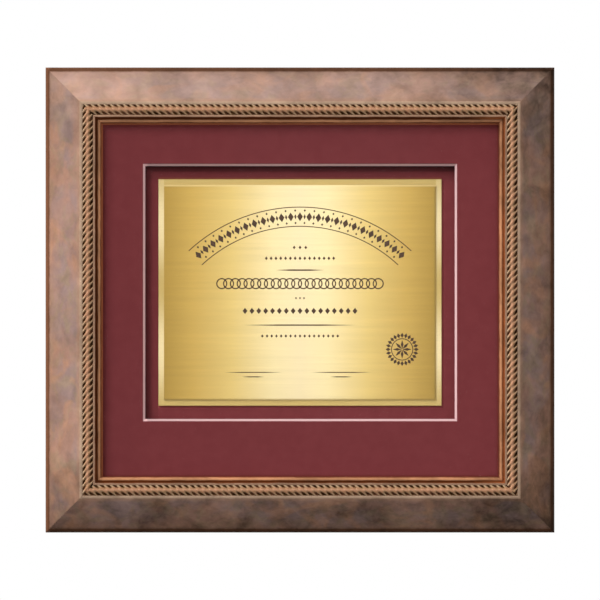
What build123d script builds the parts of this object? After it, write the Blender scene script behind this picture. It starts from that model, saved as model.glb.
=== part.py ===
from build123d import *
import os
from math import asin, atan2, ceil, cos, degrees, radians, sin

# A framed certificate plaque, modelled upright as it hangs on a wall.
# The origin is the point of the wall behind the middle of the frame: +X is to the right as seen
# from the front, +Z is up, and the picture faces -Y. Every depth is counted forwards from the wall.

# Plaque: a brushed face plate taped on a polished border plate
plaque_width = 254.0
plaque_height = 203.2
border_plate_thickness = 1.6
border_plate_chamfer = 0.5
plate_border = 5.1
face_plate_thickness = 0.9
plate_tape_thickness = 0.5
plate_tape_inset = 4.0
mounting_pad_size = 25.0
mounting_pad_thickness = 1.0
mounting_pad_inset = 16.0

# Mats, glazing and backing, from the front of the rebate to its back
glazing_thickness = 2.0
mat_thickness = 2.3
mat_facing_thickness = 0.3
mat_bevel_angle = 45
plaque_reveal = 11.7
mat_side_border = 37.2
mat_top_border = 36.3
mat_bottom_border = 49.7
spacer_depth = 6.4
spacer_width = 20.0
backing_mat_thickness = 1.5
backing_board_thickness = 4.8
sheet_clearance = 1.2

# Moulding section: widths across the face, and heights above the back of the rail
rail_width = 49.8
lip_width = 3.1
groove_width = 2.1
inner_fillet_width = 1.8
rope_band_width = 10.1
outer_fillet_width = 2.2
shoulder_width = 3.9
outer_wall_height = 16.4
shoulder_height = 19.2
shoulder_bulge = 0.9
slope_step = 0.4
slope_height = 28.8
slope_bulge = 0.25
fillet_lift = 0.3
fillet_crown = 0.4
channel_height = 26.2
groove_height = 22.6
lip_shelf_height = 24.2
lip_edge_height = 22.0
lip_bulge = 0.75
rebate_height = 19.0
rebate_width = 6.35
back_chamfer = 1.0

# Rope ornament pressed into the channel of the moulding
rope_pitch = 5.76
rope_run = 11.6
rope_base_thickness = 0.8
rope_side_clearance = 0.05
strand_height = 3.2
strand_base_width = 7.4
strand_top_width = 2.0
strand_end_share = 0.42

# Corner wedges driven from behind across each mitre
wedge_leg = 5.0
wedge_thickness = 0.6
wedge_depth = 10.0
wedge_half_angle = 38
wedge_setbacks = (11.0, 29.0)

# Points that hold the backing board in the rebate
point_width = 8.0
point_thickness = 0.5
point_reach = 9.0
point_bite = 6.0
point_nose = 2.5
points_across = 3
points_up = 2
point_end_margin = 60.0

# Paper cover glued over the back
cover_thickness = 0.3
cover_inset = 3.0

# Ring hangers, one on each side rail
hanger_drop = 112.0
hanger_setback = 21.0
strap_width = 9.5
strap_metal = 0.8
strap_length = 27.0
strap_hole_drop = 19.5
strap_hole_clearance = 0.15
ring_wire_radius = 1.1
ring_wire_flats = 12
ring_bore_clearance = 0.08
ring_opening_width = 14.0
ring_reach = 10.8
ring_corner_radius = 2.3
ring_rest_clearance = 0.3
screw_shank_radius = 1.7
screw_length = 12.0
screw_point_length = 3.0
screw_head_radius = 3.4
screw_head_height = 1.9
screw_head_edge = 0.8

# Bumpers that keep the lower edge off the wall
bumper_radius = 6.5
bumper_height = 4.4
bumper_edge = 1.2
bumper_side_setback = 34.0
bumper_base_setback = 15.0

# Sizes of the opening and of the whole frame
mat_bevel_width = mat_thickness
window_width = plaque_width + 2 * (plaque_reveal + mat_bevel_width)
window_height = plaque_height + 2 * (plaque_reveal + mat_bevel_width)
sight_width = window_width + 2 * mat_side_border
sight_height = window_height + mat_top_border + mat_bottom_border
frame_width = sight_width + 2 * rail_width
frame_height = sight_height + 2 * rail_width
picture_z = (mat_bottom_border - mat_top_border) / 2
sheet_width = sight_width + 2 * (rebate_width - sheet_clearance)
sheet_height = sight_height + 2 * (rebate_width - sheet_clearance)

# Depths in front of the wall
cover_depth = bumper_height
rail_back_depth = cover_depth + cover_thickness
ledge_depth = rail_back_depth + rebate_height
mat_face_depth = ledge_depth - glazing_thickness
core_face_depth = mat_face_depth - mat_facing_thickness
mat_back_depth = mat_face_depth - mat_thickness
spacer_back_depth = mat_back_depth - spacer_depth
backing_mat_back_depth = spacer_back_depth - backing_mat_thickness
board_back_depth = backing_mat_back_depth - backing_board_thickness
point_back_depth = board_back_depth - point_thickness
border_plate_back_depth = spacer_back_depth + mounting_pad_thickness
border_plate_face_depth = border_plate_back_depth + border_plate_thickness
face_plate_back_depth = border_plate_face_depth + plate_tape_thickness

# Places across the moulding, counted inwards from its outer edge
lip_start = rail_width - lip_width
groove_start = lip_start - groove_width
channel_end = groove_start - inner_fillet_width
channel_start = channel_end - rope_band_width
slope_end = channel_start - outer_fillet_width
rebate_start = rail_width - rebate_width
fillet_height = slope_height + fillet_lift

front = Vector(0, -1, 0)
outward_by_side = {
    "top": Vector(0, 0, 1),
    "right": Vector(1, 0, 0),
    "bottom": Vector(0, 0, -1),
    "left": Vector(-1, 0, 0),
}
os.makedirs("parts", exist_ok=True)


def save(part, name):
    """Labels a finished piece and writes it as parts/name.step."""
    part.label = name
    export_step(part, f"parts/{name}.step")


def half_span(outward):
    """Distance from the middle of the frame to its outer edge on one side."""
    return frame_height / 2 if outward.Z else frame_width / 2


def half_length(outward):
    """Half of the outer length of the rail on one side."""
    return frame_width / 2 if outward.Z else frame_height / 2


def side_plane(outward, depth):
    """Plane of one side: X along the rail, Y outwards, Z to the front, origin at mid-frame."""
    return Plane(origin=front * depth, x_dir=outward.cross(front), z_dir=front)


def mitre_planes(outward):
    """The two 45 degree planes that end the rail of one side, facing the middle of the rail."""
    along = outward.cross(front)
    edge = outward * half_span(outward)
    planes = []
    for sign in (1, -1):
        corner = edge + along * sign * half_length(outward)
        planes.append(Plane(origin=corner, z_dir=outward - along * sign))
    return planes


# Flat sheets lie in planes square to the wall's normal, so each is a rectangle pulled forwards
def sheet_plane(depth):
    """Plane parallel to the wall, at a depth in front of it."""
    return Plane.XZ.offset(depth)


with BuildPart() as glazing:
    with BuildSketch(sheet_plane(mat_face_depth)):
        Rectangle(sheet_width, sheet_height)
    extrude(amount=glazing_thickness)
save(glazing.part, "glazing")

# The mat's window is cut at a bevel through its facing paper and its core alike
with BuildPart() as window_cutter:
    with BuildSketch(sheet_plane(mat_face_depth)):
        with Locations((0, picture_z)):
            Rectangle(window_width, window_height)
    extrude(amount=-mat_thickness, taper=mat_bevel_angle)

with BuildPart() as window_mat_facing:
    with BuildSketch(sheet_plane(core_face_depth)):
        Rectangle(sheet_width, sheet_height)
    extrude(amount=mat_facing_thickness)
    add(window_cutter.part, mode=Mode.SUBTRACT)
save(window_mat_facing.part, "window_mat_facing")

with BuildPart() as window_mat_core:
    with BuildSketch(sheet_plane(mat_back_depth)):
        Rectangle(sheet_width, sheet_height)
    extrude(amount=mat_thickness - mat_facing_thickness)
    add(window_cutter.part, mode=Mode.SUBTRACT)
save(window_mat_core.part, "window_mat_core")

# Foam strips lift the window mat off the backing mat: long ones above and below, short ones between
long_strip_z = (sheet_height - spacer_width) / 2
short_strip_x = (sheet_width - spacer_width) / 2
short_strip_height = sheet_height - 2 * spacer_width
spacer_strips = {
    "spacer_top": (0, long_strip_z, sheet_width, spacer_width),
    "spacer_bottom": (0, -long_strip_z, sheet_width, spacer_width),
    "spacer_left": (-short_strip_x, 0, spacer_width, short_strip_height),
    "spacer_right": (short_strip_x, 0, spacer_width, short_strip_height),
}
for strip_name, (strip_x, strip_z, strip_w, strip_h) in spacer_strips.items():
    with BuildPart() as spacer:
        with BuildSketch(sheet_plane(spacer_back_depth)):
            with Locations((strip_x, strip_z)):
                Rectangle(strip_w, strip_h)
        extrude(amount=spacer_depth)
    save(spacer.part, strip_name)

with BuildPart() as backing_mat:
    with BuildSketch(sheet_plane(backing_mat_back_depth)):
        Rectangle(sheet_width, sheet_height)
    extrude(amount=backing_mat_thickness)
save(backing_mat.part, "backing_mat")

with BuildPart() as backing_board:
    with BuildSketch(sheet_plane(board_back_depth)):
        Rectangle(sheet_width, sheet_height)
    extrude(amount=backing_board_thickness)
save(backing_board.part, "backing_board")

# The plaque stands on four foam pads
with BuildPart() as mounting_pads:
    with BuildSketch(sheet_plane(spacer_back_depth)):
        with Locations((0, picture_z)):
            with GridLocations(
                plaque_width - 2 * mounting_pad_inset - mounting_pad_size,
                plaque_height - 2 * mounting_pad_inset - mounting_pad_size,
                2,
                2,
            ):
                Rectangle(mounting_pad_size, mounting_pad_size)
    extrude(amount=mounting_pad_thickness)
save(mounting_pads.part, "plaque_mounting_pads")

with BuildPart() as border_plate:
    with BuildSketch(sheet_plane(border_plate_back_depth)):
        with Locations((0, picture_z)):
            Rectangle(plaque_width, plaque_height)
    extrude(amount=border_plate_thickness)
    front_edges = border_plate.faces().sort_by(Axis.Y)[0].edges()
    chamfer(front_edges, border_plate_chamfer)
save(border_plate.part, "border_plate")

with BuildPart() as plate_tape:
    with BuildSketch(sheet_plane(border_plate_face_depth)):
        with Locations((0, picture_z)):
            Rectangle(
                plaque_width - 2 * (plate_border + plate_tape_inset),
                plaque_height - 2 * (plate_border + plate_tape_inset),
            )
    extrude(amount=plate_tape_thickness)
save(plate_tape.part, "face_plate_tape")

with BuildPart() as face_plate:
    with BuildSketch(sheet_plane(face_plate_back_depth)):
        with Locations((0, picture_z)):
            Rectangle(plaque_width - 2 * plate_border, plaque_height - 2 * plate_border)
    extrude(amount=face_plate_thickness)
save(face_plate.part, "face_plate")

# Wedges: a bent strip of steel, its point on the mitre line and a leg in each of the two rails
leg_across = wedge_leg * sin(radians(wedge_half_angle))
leg_down = wedge_leg * cos(radians(wedge_half_angle))
with BuildPart() as corner_wedges:
    for corner_x in (-1, 1):
        for corner_z in (-1, 1):
            for setback in wedge_setbacks:
                wedge_plane = Plane(
                    origin=(
                        corner_x * (frame_width / 2 - setback),
                        -rail_back_depth,
                        corner_z * (frame_height / 2 - setback),
                    ),
                    x_dir=Vector(corner_x, 0, corner_z).cross(front),
                    z_dir=front,
                )
                with BuildSketch(wedge_plane):
                    with BuildLine():
                        Polyline((-leg_across, 0), (0, leg_down), (leg_across, 0))
                    trace(line_width=wedge_thickness)
                extrude(amount=wedge_depth)
save(corner_wedges.part, "corner_wedges")

# Points: flat tabs with a tapered nose driven into the rebate wall just behind the board
with BuildPart() as board_points:
    for outward in outward_by_side.values():
        count = points_across if outward.Z else points_up
        first = half_length(outward) - rail_width - point_end_margin
        wall = half_span(outward) - rebate_start
        with BuildSketch(side_plane(outward, point_back_depth)):
            for index in range(count):
                place = first * (2 * index / (count - 1) - 1)
                with Locations((place, wall)):
                    Polygon(
                        (-point_width / 2, -point_reach),
                        (point_width / 2, -point_reach),
                        (point_width / 2, point_bite - point_nose),
                        (point_nose / 2, point_bite),
                        (-point_nose / 2, point_bite),
                        (-point_width / 2, point_bite - point_nose),
                        align=None,
                    )
        extrude(amount=point_thickness)
save(board_points.part, "board_points")

# Hangers: the strap's loop lies on the paper cover, with the ring's straight bar inside it
bore_radius = ring_wire_radius + ring_bore_clearance
loop_radius = bore_radius + strap_metal
strap_thickness = 2 * strap_metal
hanger_z = frame_height / 2 - hanger_drop
hanger_x = frame_width / 2 - hanger_setback
pivot_depth = cover_depth - loop_radius
screw_z = hanger_z - strap_hole_drop

with BuildPart() as hanger_screws:
    for side_sign in (-1, 1):
        head_plane = sheet_plane(cover_depth - strap_thickness)
        with BuildSketch(head_plane):
            with Locations((side_sign * hanger_x, screw_z)):
                Circle(screw_head_radius)
        extrude(amount=-screw_head_height)
        with BuildSketch(head_plane):
            with Locations((side_sign * hanger_x, screw_z)):
                Circle(screw_shank_radius)
        extrude(amount=screw_length - screw_point_length)
        with BuildSketch(
            sheet_plane(cover_depth - strap_thickness + screw_length - screw_point_length)
        ):
            with Locations((side_sign * hanger_x, screw_z)):
                Circle(screw_shank_radius)
        extrude(
            amount=screw_point_length,
            taper=degrees(atan2(screw_shank_radius - screw_head_edge / 2, screw_point_length)),
        )
    head_rims = hanger_screws.faces().sort_by(Axis.Y)[-2:].edges()
    chamfer(head_rims, screw_head_edge)
save(hanger_screws.part, "hanger_screws")

# The ring's rest angle leaves its arch just clear of the strap that it hangs over
rest_lift = strap_thickness + ring_wire_radius + ring_rest_clearance - loop_radius
rest_tilt = degrees(asin(rest_lift / (ring_reach - ring_wire_radius)))
ring_half_width = ring_opening_width / 2 + ring_wire_radius

for side_name, side_sign in (("left", -1), ("right", 1)):
    pivot = Vector(side_sign * hanger_x, -pivot_depth, hanger_z)

    with BuildPart() as strap:
        with BuildSketch(Plane(origin=pivot, x_dir=(0, 1, 0), z_dir=(1, 0, 0))):
            Circle(loop_radius)
            with Locations((-loop_radius, -strap_length)):
                Rectangle(strap_thickness, strap_length, align=(Align.MIN, Align.MIN))
            Circle(bore_radius, mode=Mode.SUBTRACT)
        extrude(amount=strap_width / 2, both=True)
        tail_edges = strap.edges().filter_by(Axis.Y).group_by(Axis.Z)[0]
        fillet(tail_edges, strap_width / 2 - strap_metal)
        with Locations(Plane(origin=(pivot.X, -cover_depth, screw_z), z_dir=(0, 1, 0))):
            Hole(screw_shank_radius + strap_hole_clearance)
    save(strap.part, f"{side_name}_hanger_strap")

    ring_plane = Plane(origin=pivot, x_dir=(1, 0, 0), z_dir=front).rotated((rest_tilt, 0, 0))
    with BuildPart() as ring:
        with BuildLine(ring_plane) as ring_path:
            bar = Line(
                (-ring_half_width + ring_corner_radius, 0),
                (ring_half_width - ring_corner_radius, 0),
            )
            right_corner = RadiusArc(
                bar @ 1, (ring_half_width, -ring_corner_radius), ring_corner_radius
            )
            right_leg = Line(
                right_corner @ 1, (ring_half_width, ring_half_width - ring_reach)
            )
            arch = ThreePointArc(
                right_leg @ 1,
                (0, -ring_reach),
                (-ring_half_width, ring_half_width - ring_reach),
            )
            left_leg = Line(arch @ 1, (-ring_half_width, -ring_corner_radius))
            RadiusArc(left_leg @ 1, bar @ 0, ring_corner_radius)
        with BuildSketch(Plane(origin=bar @ 0, z_dir=bar % 0)):
            RegularPolygon(ring_wire_radius, ring_wire_flats)
        sweep(path=ring_path.wires()[0])
    save(ring.part, f"{side_name}_hanger_ring")
    print(side_name, "ring pivot", pivot.X, pivot.Y, pivot.Z, "rest tilt", rest_tilt)

# Bumpers: rubber buttons near the lower corners
for side_name, side_sign in (("left", -1), ("right", 1)):
    with BuildPart() as bumper:
        with BuildSketch(sheet_plane(0)):
            with Locations(
                (
                    side_sign * (frame_width / 2 - bumper_side_setback),
                    bumper_base_setback - frame_height / 2,
                )
            ):
                Circle(bumper_radius)
        extrude(amount=bumper_height)
        wall_rim = bumper.faces().sort_by(Axis.Y)[-1].edges()
        chamfer(wall_rim, bumper_edge)
    save(bumper.part, f"{side_name}_bumper")

with BuildPart() as dust_cover:
    with BuildSketch(sheet_plane(cover_depth)):
        Rectangle(frame_width - 2 * cover_inset, frame_height - 2 * cover_inset)
    extrude(amount=cover_thickness)
    add(hanger_screws.part, mode=Mode.SUBTRACT)
save(dust_cover.part, "dust_cover")


# Rails: one section, pulled along each side and cut at 45 degrees at both ends
def mitred_rail(outward):
    """The moulding of one side, with the slots of what is driven into it."""
    edge = outward * half_span(outward) + front * rail_back_depth
    with BuildPart() as rail:
        with BuildSketch(Plane(origin=edge, x_dir=-outward, z_dir=(-outward).cross(front))):
            with BuildLine():
                Polyline(
                    (rebate_start, 0),
                    (back_chamfer, 0),
                    (0, back_chamfer),
                    (0, outer_wall_height),
                )
                SagittaArc(
                    (0, outer_wall_height), (shoulder_width, shoulder_height), shoulder_bulge
                )
                Line(
                    (shoulder_width, shoulder_height),
                    (shoulder_width, shoulder_height + slope_step),
                )
                SagittaArc(
                    (shoulder_width, shoulder_height + slope_step),
                    (slope_end, slope_height),
                    slope_bulge,
                )
                Line((slope_end, slope_height), (slope_end, fillet_height))
                SagittaArc(
                    (slope_end, fillet_height), (channel_start, fillet_height), fillet_crown
                )
                Polyline(
                    (channel_start, fillet_height),
                    (channel_start, channel_height),
                    (channel_end, channel_height),
                    (channel_end, fillet_height),
                )
                SagittaArc(
                    (channel_end, fillet_height), (groove_start, fillet_height), fillet_crown
                )
                Polyline(
                    (groove_start, fillet_height),
                    (groove_start, groove_height),
                    (lip_start, groove_height),
                    (lip_start, lip_shelf_height),
                )
                SagittaArc(
                    (lip_start, lip_shelf_height), (rail_width, lip_edge_height), lip_bulge
                )
                Polyline(
                    (rail_width, lip_edge_height),
                    (rail_width, rebate_height),
                    (rebate_start, rebate_height),
                    (rebate_start, 0),
                )
            make_face()
        extrude(amount=half_length(outward), both=True)
        for cut in mitre_planes(outward):
            split(bisect_by=cut, keep=Keep.TOP)
        for driven in (corner_wedges, board_points, hanger_screws):
            add(driven.part, mode=Mode.SUBTRACT)
    return rail.part


for side_name, outward in outward_by_side.items():
    save(mitred_rail(outward), f"rail_{side_name}")

# One strand of the rope, lying aslant across the channel. Its two ends are scaled copies of its
# middle, so every face is flat, and it is wider at its foot than the pitch, so that neighbours
# meet in a valley at the crest and leave open pits towards both edges.
strip_width = rope_band_width - 2 * rope_side_clearance
with BuildPart() as strand:
    for end_sign, scale_share in ((-1, strand_end_share), (0, 1), (1, strand_end_share)):
        along = -end_sign * rope_run / 2
        across = end_sign * strip_width / 2
        with BuildSketch(Plane(origin=(along, across, 0), x_dir=(1, 0, 0), z_dir=(0, -1, 0))):
            Polygon(
                (-strand_base_width / 2 * scale_share, 0),
                (strand_base_width / 2 * scale_share, 0),
                (strand_top_width / 2 * scale_share, strand_height * scale_share),
                (-strand_top_width / 2 * scale_share, strand_height * scale_share),
                align=None,
            )
    loft(ruled=True)


def rope_strip(outward):
    """The rope ornament of one side: strands on a base strip, mitred at both ends."""
    centre_line = half_span(outward) - (channel_start + channel_end) / 2
    half_run = half_length(outward) - (channel_start + channel_end) / 2
    count = round(2 * half_run / rope_pitch)
    pitch = 2 * half_run / count
    spare = ceil((rope_band_width / 2 + rope_run / 2) / pitch)
    base_plane = side_plane(outward, rail_back_depth + channel_height)
    top_plane = side_plane(outward, rail_back_depth + channel_height + rope_base_thickness)
    with BuildPart() as strip:
        with BuildSketch(base_plane):
            with Locations((0, centre_line)):
                Rectangle(2 * half_length(outward), strip_width)
        extrude(amount=rope_base_thickness)
        places = [
            top_plane * Location(((index + 0.5) * pitch - half_run, centre_line, 0))
            for index in range(-spare, count + spare)
        ]
        with Locations(*places):
            add(strand.part)
        for cut in mitre_planes(outward):
            split(bisect_by=cut, keep=Keep.TOP)
    return strip.part


for side_name, outward in outward_by_side.items():
    save(rope_strip(outward), f"rope_{side_name}")

print("frame", frame_width, frame_height, "deep", rail_back_depth + fillet_height + fillet_crown)
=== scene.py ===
import logging
import math
from dataclasses import dataclass
from enum import Enum
from typing import Any, Callable, Optional, Sequence

import bmesh
import bpy
from mathutils import Matrix, Vector


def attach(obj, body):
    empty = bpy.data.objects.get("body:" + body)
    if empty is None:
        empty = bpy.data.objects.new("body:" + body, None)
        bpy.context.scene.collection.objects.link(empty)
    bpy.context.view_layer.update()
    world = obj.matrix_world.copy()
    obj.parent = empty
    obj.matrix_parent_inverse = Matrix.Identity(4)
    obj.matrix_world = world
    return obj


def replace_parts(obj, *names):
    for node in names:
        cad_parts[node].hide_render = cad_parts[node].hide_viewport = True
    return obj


# A framed brass plaque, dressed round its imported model. Pieces are modelled in millimetres and set
# down in metres: +X is to the right, +Z is up, the wall is at Y 0 and the picture faces -Y.

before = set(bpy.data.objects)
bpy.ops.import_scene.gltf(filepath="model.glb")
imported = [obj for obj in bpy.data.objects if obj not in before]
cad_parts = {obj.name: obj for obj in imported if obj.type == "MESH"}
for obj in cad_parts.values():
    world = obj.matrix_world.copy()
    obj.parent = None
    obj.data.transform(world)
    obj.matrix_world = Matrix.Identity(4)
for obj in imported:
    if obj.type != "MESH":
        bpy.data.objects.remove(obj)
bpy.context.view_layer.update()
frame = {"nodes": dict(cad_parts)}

log = logging.getLogger("certificate_frame")

Colour = tuple[float, float, float]
Pair = tuple[float, float]
Point = Sequence[float]
Socket = bpy.types.NodeSocket

MM = 0.001
BODY = "frame"
FRONT = Vector((0.0, -1.0, 0.0))
ORIGIN = (0.0, 0.0, 0.0)


def linear(colour: Colour) -> tuple[float, ...]:
    """Turns a colour written as 0 to 255 into the linear values that shaders take.

    Args:
        colour: Its red, green and blue.

    Returns:
        The linear colour with full opacity.
    """
    shares = [part / 255 for part in colour]
    return (*(s / 12.92 if s <= 0.04045 else ((s + 0.055) / 1.055) ** 2.4 for s in shares), 1.0)


class Side(Enum):
    """The four sides of the frame, each with the direction that points outwards from it."""

    TOP = (0.0, 0.0, 1.0)
    RIGHT = (1.0, 0.0, 0.0)
    BOTTOM = (0.0, 0.0, -1.0)
    LEFT = (-1.0, 0.0, 0.0)

    @property
    def label(self) -> str:
        """The side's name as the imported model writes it."""
        return self.name.lower()

    @property
    def place(self) -> Matrix:
        """Sets a piece down on this side: X along the rail, Y outwards, Z to the front.

        Returns:
            The matrix from a piece's millimetres to its place in metres.
        """
        outward = Vector(self.value)
        axes = Matrix((outward.cross(FRONT), outward, FRONT))
        return axes.transposed().to_4x4() @ Matrix.Scale(MM, 4)


# A flat piece is drawn with X to the right, Y up and Z to the front
FACING = Side.TOP.place


class Pick(Enum):
    """What a selection is made of."""

    POINTS = "VERT"
    EDGES = "EDGE"
    FACES = "FACE"


class Value:
    """A number that shader nodes work out, reckoned with like a plain number."""

    def __init__(self, nodes: "Nodes", socket: Socket) -> None:
        """Keeps a socket and the nodes that it is one of."""
        self.nodes = nodes
        self.socket = socket

    def through(self, operation: str, *others: Any) -> "Value":
        """Puts this number, and others where it takes them, through a Math node."""
        made = self.nodes.node("ShaderNodeMath", enumerate((self, *others)), operation=operation)
        return Value(self.nodes, made.outputs["Value"])

    def __add__(self, other: Any) -> "Value":
        """The sum."""
        return self.through("ADD", other)

    def __sub__(self, other: Any) -> "Value":
        """This number less another."""
        return self.through("SUBTRACT", other)

    def __rsub__(self, other: Any) -> "Value":
        """Another number less this one."""
        return self.through("MULTIPLY_ADD", -1.0, other)

    def __mul__(self, other: Any) -> "Value":
        """The product."""
        return self.through("MULTIPLY", other)

    def __truediv__(self, other: Any) -> "Value":
        """This number over another."""
        return self.through("DIVIDE", other)

    def __abs__(self) -> "Value":
        """This number without its sign."""
        return self.through("ABSOLUTE")

    def __lt__(self, other: Any) -> "Value":
        """1 where this number is the smaller one, else 0."""
        return self.through("LESS_THAN", other)

    def __gt__(self, other: Any) -> "Value":
        """1 where this number is the larger one, else 0."""
        return self.through("GREATER_THAN", other)

    def least(self, other: Any) -> "Value":
        """The smaller of two numbers."""
        return self.through("MINIMUM", other)

    def most(self, other: Any) -> "Value":
        """The larger of two numbers."""
        return self.through("MAXIMUM", other)

    def span(self, low: float, high: float, to_low: Any = 0.0, to_high: Any = 1.0) -> "Value":
        """Stretches a range of numbers to another and holds it there.

        Args:
            low: Where the range starts.
            high: Where it ends.
            to_low: What its start becomes.
            to_high: What its end becomes.

        Returns:
            The new number.
        """
        names = ("Value", "From Min", "From Max", "To Min", "To Max")
        made = self.nodes.node("ShaderNodeMapRange", zip(names, (self, low, high, to_low, to_high)))
        return Value(self.nodes, made.outputs["Result"])

    def sway(self, size: float) -> "Value":
        """Noise, stretched to swing by a size to both sides of 0."""
        return self.span(0.3, 0.7, -size, size)


class Nodes:
    """The nodes of a material or of the world."""

    def __init__(self, owner: Any) -> None:
        """Starts with none.

        Args:
            owner: What the nodes belong to.
        """
        owner.use_nodes = True
        self.tree = owner.node_tree
        self.tree.nodes.clear()

    def node(self, kind: str, given: Any = (), **settings: Any) -> bpy.types.Node:
        """Adds a node.

        Args:
            kind: The node's type.
            given: What goes into its inputs, by their names or numbers.
            **settings: Values for its properties.

        Returns:
            The node.
        """
        made = self.tree.nodes.new(kind)
        for key, value in settings.items():
            setattr(made, key, value)
        for key, value in dict(given).items():
            self.put(made.inputs[key], value)
        return made

    def put(self, target: Socket, value: Any) -> None:
        """Links what nodes work out, or writes down a plain value.

        Args:
            target: The input.
            value: What goes in. A colour is written as 0 to 255.
        """
        if isinstance(value, Value):
            value = value.socket
        if isinstance(value, Socket):
            self.tree.links.new(value, target)
        else:
            target.default_value = linear(value) if target.type == "RGBA" else value

    def seen(self) -> Value:
        """Finds what looks at a surface.

        Returns:
            1 for the camera, a gloss or a clear sheet, and 0 for the light that falls on things.
        """
        path = self.node("ShaderNodeLightPath").outputs
        camera, gloss, sheet = (
            Value(self, path[f"Is {ray} Ray"]) for ray in ("Camera", "Glossy", "Transmission")
        )
        return camera.most(gloss.most(sheet))


class Graph(Nodes):
    """A material's nodes round one shader."""

    def __init__(self, name: str) -> None:
        """Starts a material with its shader.

        Args:
            name: The material's name.
        """
        self.material = bpy.data.materials.new(name)
        super().__init__(self.material)
        self.shader = self.node("ShaderNodeBsdfPrincipled")
        self.node("ShaderNodeOutputMaterial", {"Surface": self.shader.outputs["BSDF"]})
        self.place = self.node("ShaderNodeTexCoord").outputs["Object"]
        self.normal: Optional[Socket] = None

    def shade(self, colour: Any, roughness: Any, specular: float = 0.5, **more: Any) -> None:
        """Fills in the shader.

        Args:
            colour: Its base colour.
            roughness: Its roughness.
            specular: Its specular level.
            **more: Its other inputs by name, with an underscore for a space.
        """
        more.update(Base_Color=colour, Roughness=roughness, Specular_IOR_Level=specular)
        for key, value in more.items():
            self.put(self.shader.inputs[key.replace("_", " ")], value)

    def axes(self) -> Sequence[Value]:
        """The place on the piece as three separate numbers, in metres."""
        split = self.node("ShaderNodeSeparateXYZ", {0: self.place})
        return [Value(self, part) for part in split.outputs]

    def stretched(self, *scale: float) -> Socket:
        """The place on the piece, stretched by a scale on each axis."""
        return self.node("ShaderNodeMapping", {"Vector": self.place, "Scale": scale}).outputs[0]

    def noise(
        self,
        scale: float,
        detail: float = 2.0,
        roughness: float = 0.5,
        distortion: float = 0.0,
        place: Optional[Socket] = None,
    ) -> Value:
        """Cloudy noise.

        Args:
            scale: Clouds in a metre.
            detail: Finer layers on top.
            roughness: Strength of the finer layers.
            distortion: How far the clouds swirl.
            place: Where to read it, the piece's own place if left out.

        Returns:
            The noise, about 0.5 in the middle.
        """
        names = ("Vector", "Scale", "Detail", "Roughness", "Distortion")
        given = zip(names, (place or self.place, scale, detail, roughness, distortion))
        return Value(self, self.node("ShaderNodeTexNoise", given).outputs["Fac"])

    def ramp(self, value: Value, stops: Sequence[tuple[float, Colour]]) -> Socket:
        """Colours a number by stops from 0 to 1.

        Args:
            value: The number to read.
            stops: Pairs of a share and its colour.

        Returns:
            The colour.
        """
        made = self.node("ShaderNodeValToRGB", {"Fac": value})
        elements = made.color_ramp.elements
        for index, (share, colour) in enumerate(stops):
            element = elements[index] if index < 2 else elements.new(share)
            element.position = share
            element.color = linear(colour)
        return made.outputs["Color"]

    def mix(self, base: Any, *layers: tuple[Any, Any]) -> Socket:
        """Lays colours over a base, one after the other.

        Args:
            base: The first colour.
            *layers: Pairs of a share and the colour that has it.

        Returns:
            The mixed colour.
        """
        for share, colour in layers:
            given = {0: share, 6: base, 7: colour}
            base = self.node("ShaderNodeMix", given, data_type="RGBA").outputs[2]
        return base

    def tone(self, colour: Socket, *factors: Value) -> Socket:
        """Multiplies a colour by numbers.

        Args:
            colour: The colour.
            *factors: The numbers.

        Returns:
            The colour that comes out.
        """
        for factor in factors:
            given = {0: colour, "Scale": factor}
            colour = self.node("ShaderNodeVectorMath", given, operation="SCALE").outputs["Vector"]
        return colour

    def bump(self, height: Value, distance: float, strength: float) -> None:
        """Adds fine relief over what is there already.

        Args:
            height: The relief, 0 to 1.
            distance: Its full height in metres.
            strength: How much of it shows.
        """
        given = {"Distance": distance, "Strength": strength, "Height": height}
        if self.normal is not None:
            given["Normal"] = self.normal
        self.normal = self.node("ShaderNodeBump", given).outputs["Normal"]
        self.put(self.shader.inputs["Normal"], self.normal)


@dataclass(frozen=True)
class Finish:
    """How a material looks, and the record's slot that it belongs to."""

    name: str
    slot: str

    def paint(self, graph: Graph) -> None:
        """Fills in the graph. Each finish has its own."""
        raise NotImplementedError

    def material(self) -> bpy.types.Material:
        """Builds the material the first time that it is asked for.

        Returns:
            The material.
        """
        found = bpy.data.materials.get(self.name)
        if found is None:
            graph = Graph(self.name)
            self.paint(graph)
            found = graph.material
        return found


@dataclass(frozen=True)
class Leaf(Finish):
    """Metal leaf on the mitred rails, painted by its distance from the frame's outer edge."""

    half_width: float = 0.228
    half_height: float = 0.2084
    gleam: Colour = (255, 214, 176)

    def across(self, x: Value, z: Value) -> tuple[Value, Value]:
        """Finds where a place lies on its rail.

        Args:
            x: The place to the right.
            z: The place upwards.

        Returns:
            The distance from the outer edge, and 1 on an upright rail.
        """
        from_side = self.half_width - abs(x)
        from_end = self.half_height - abs(z)
        return from_side.least(from_end), from_side < from_end


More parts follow.
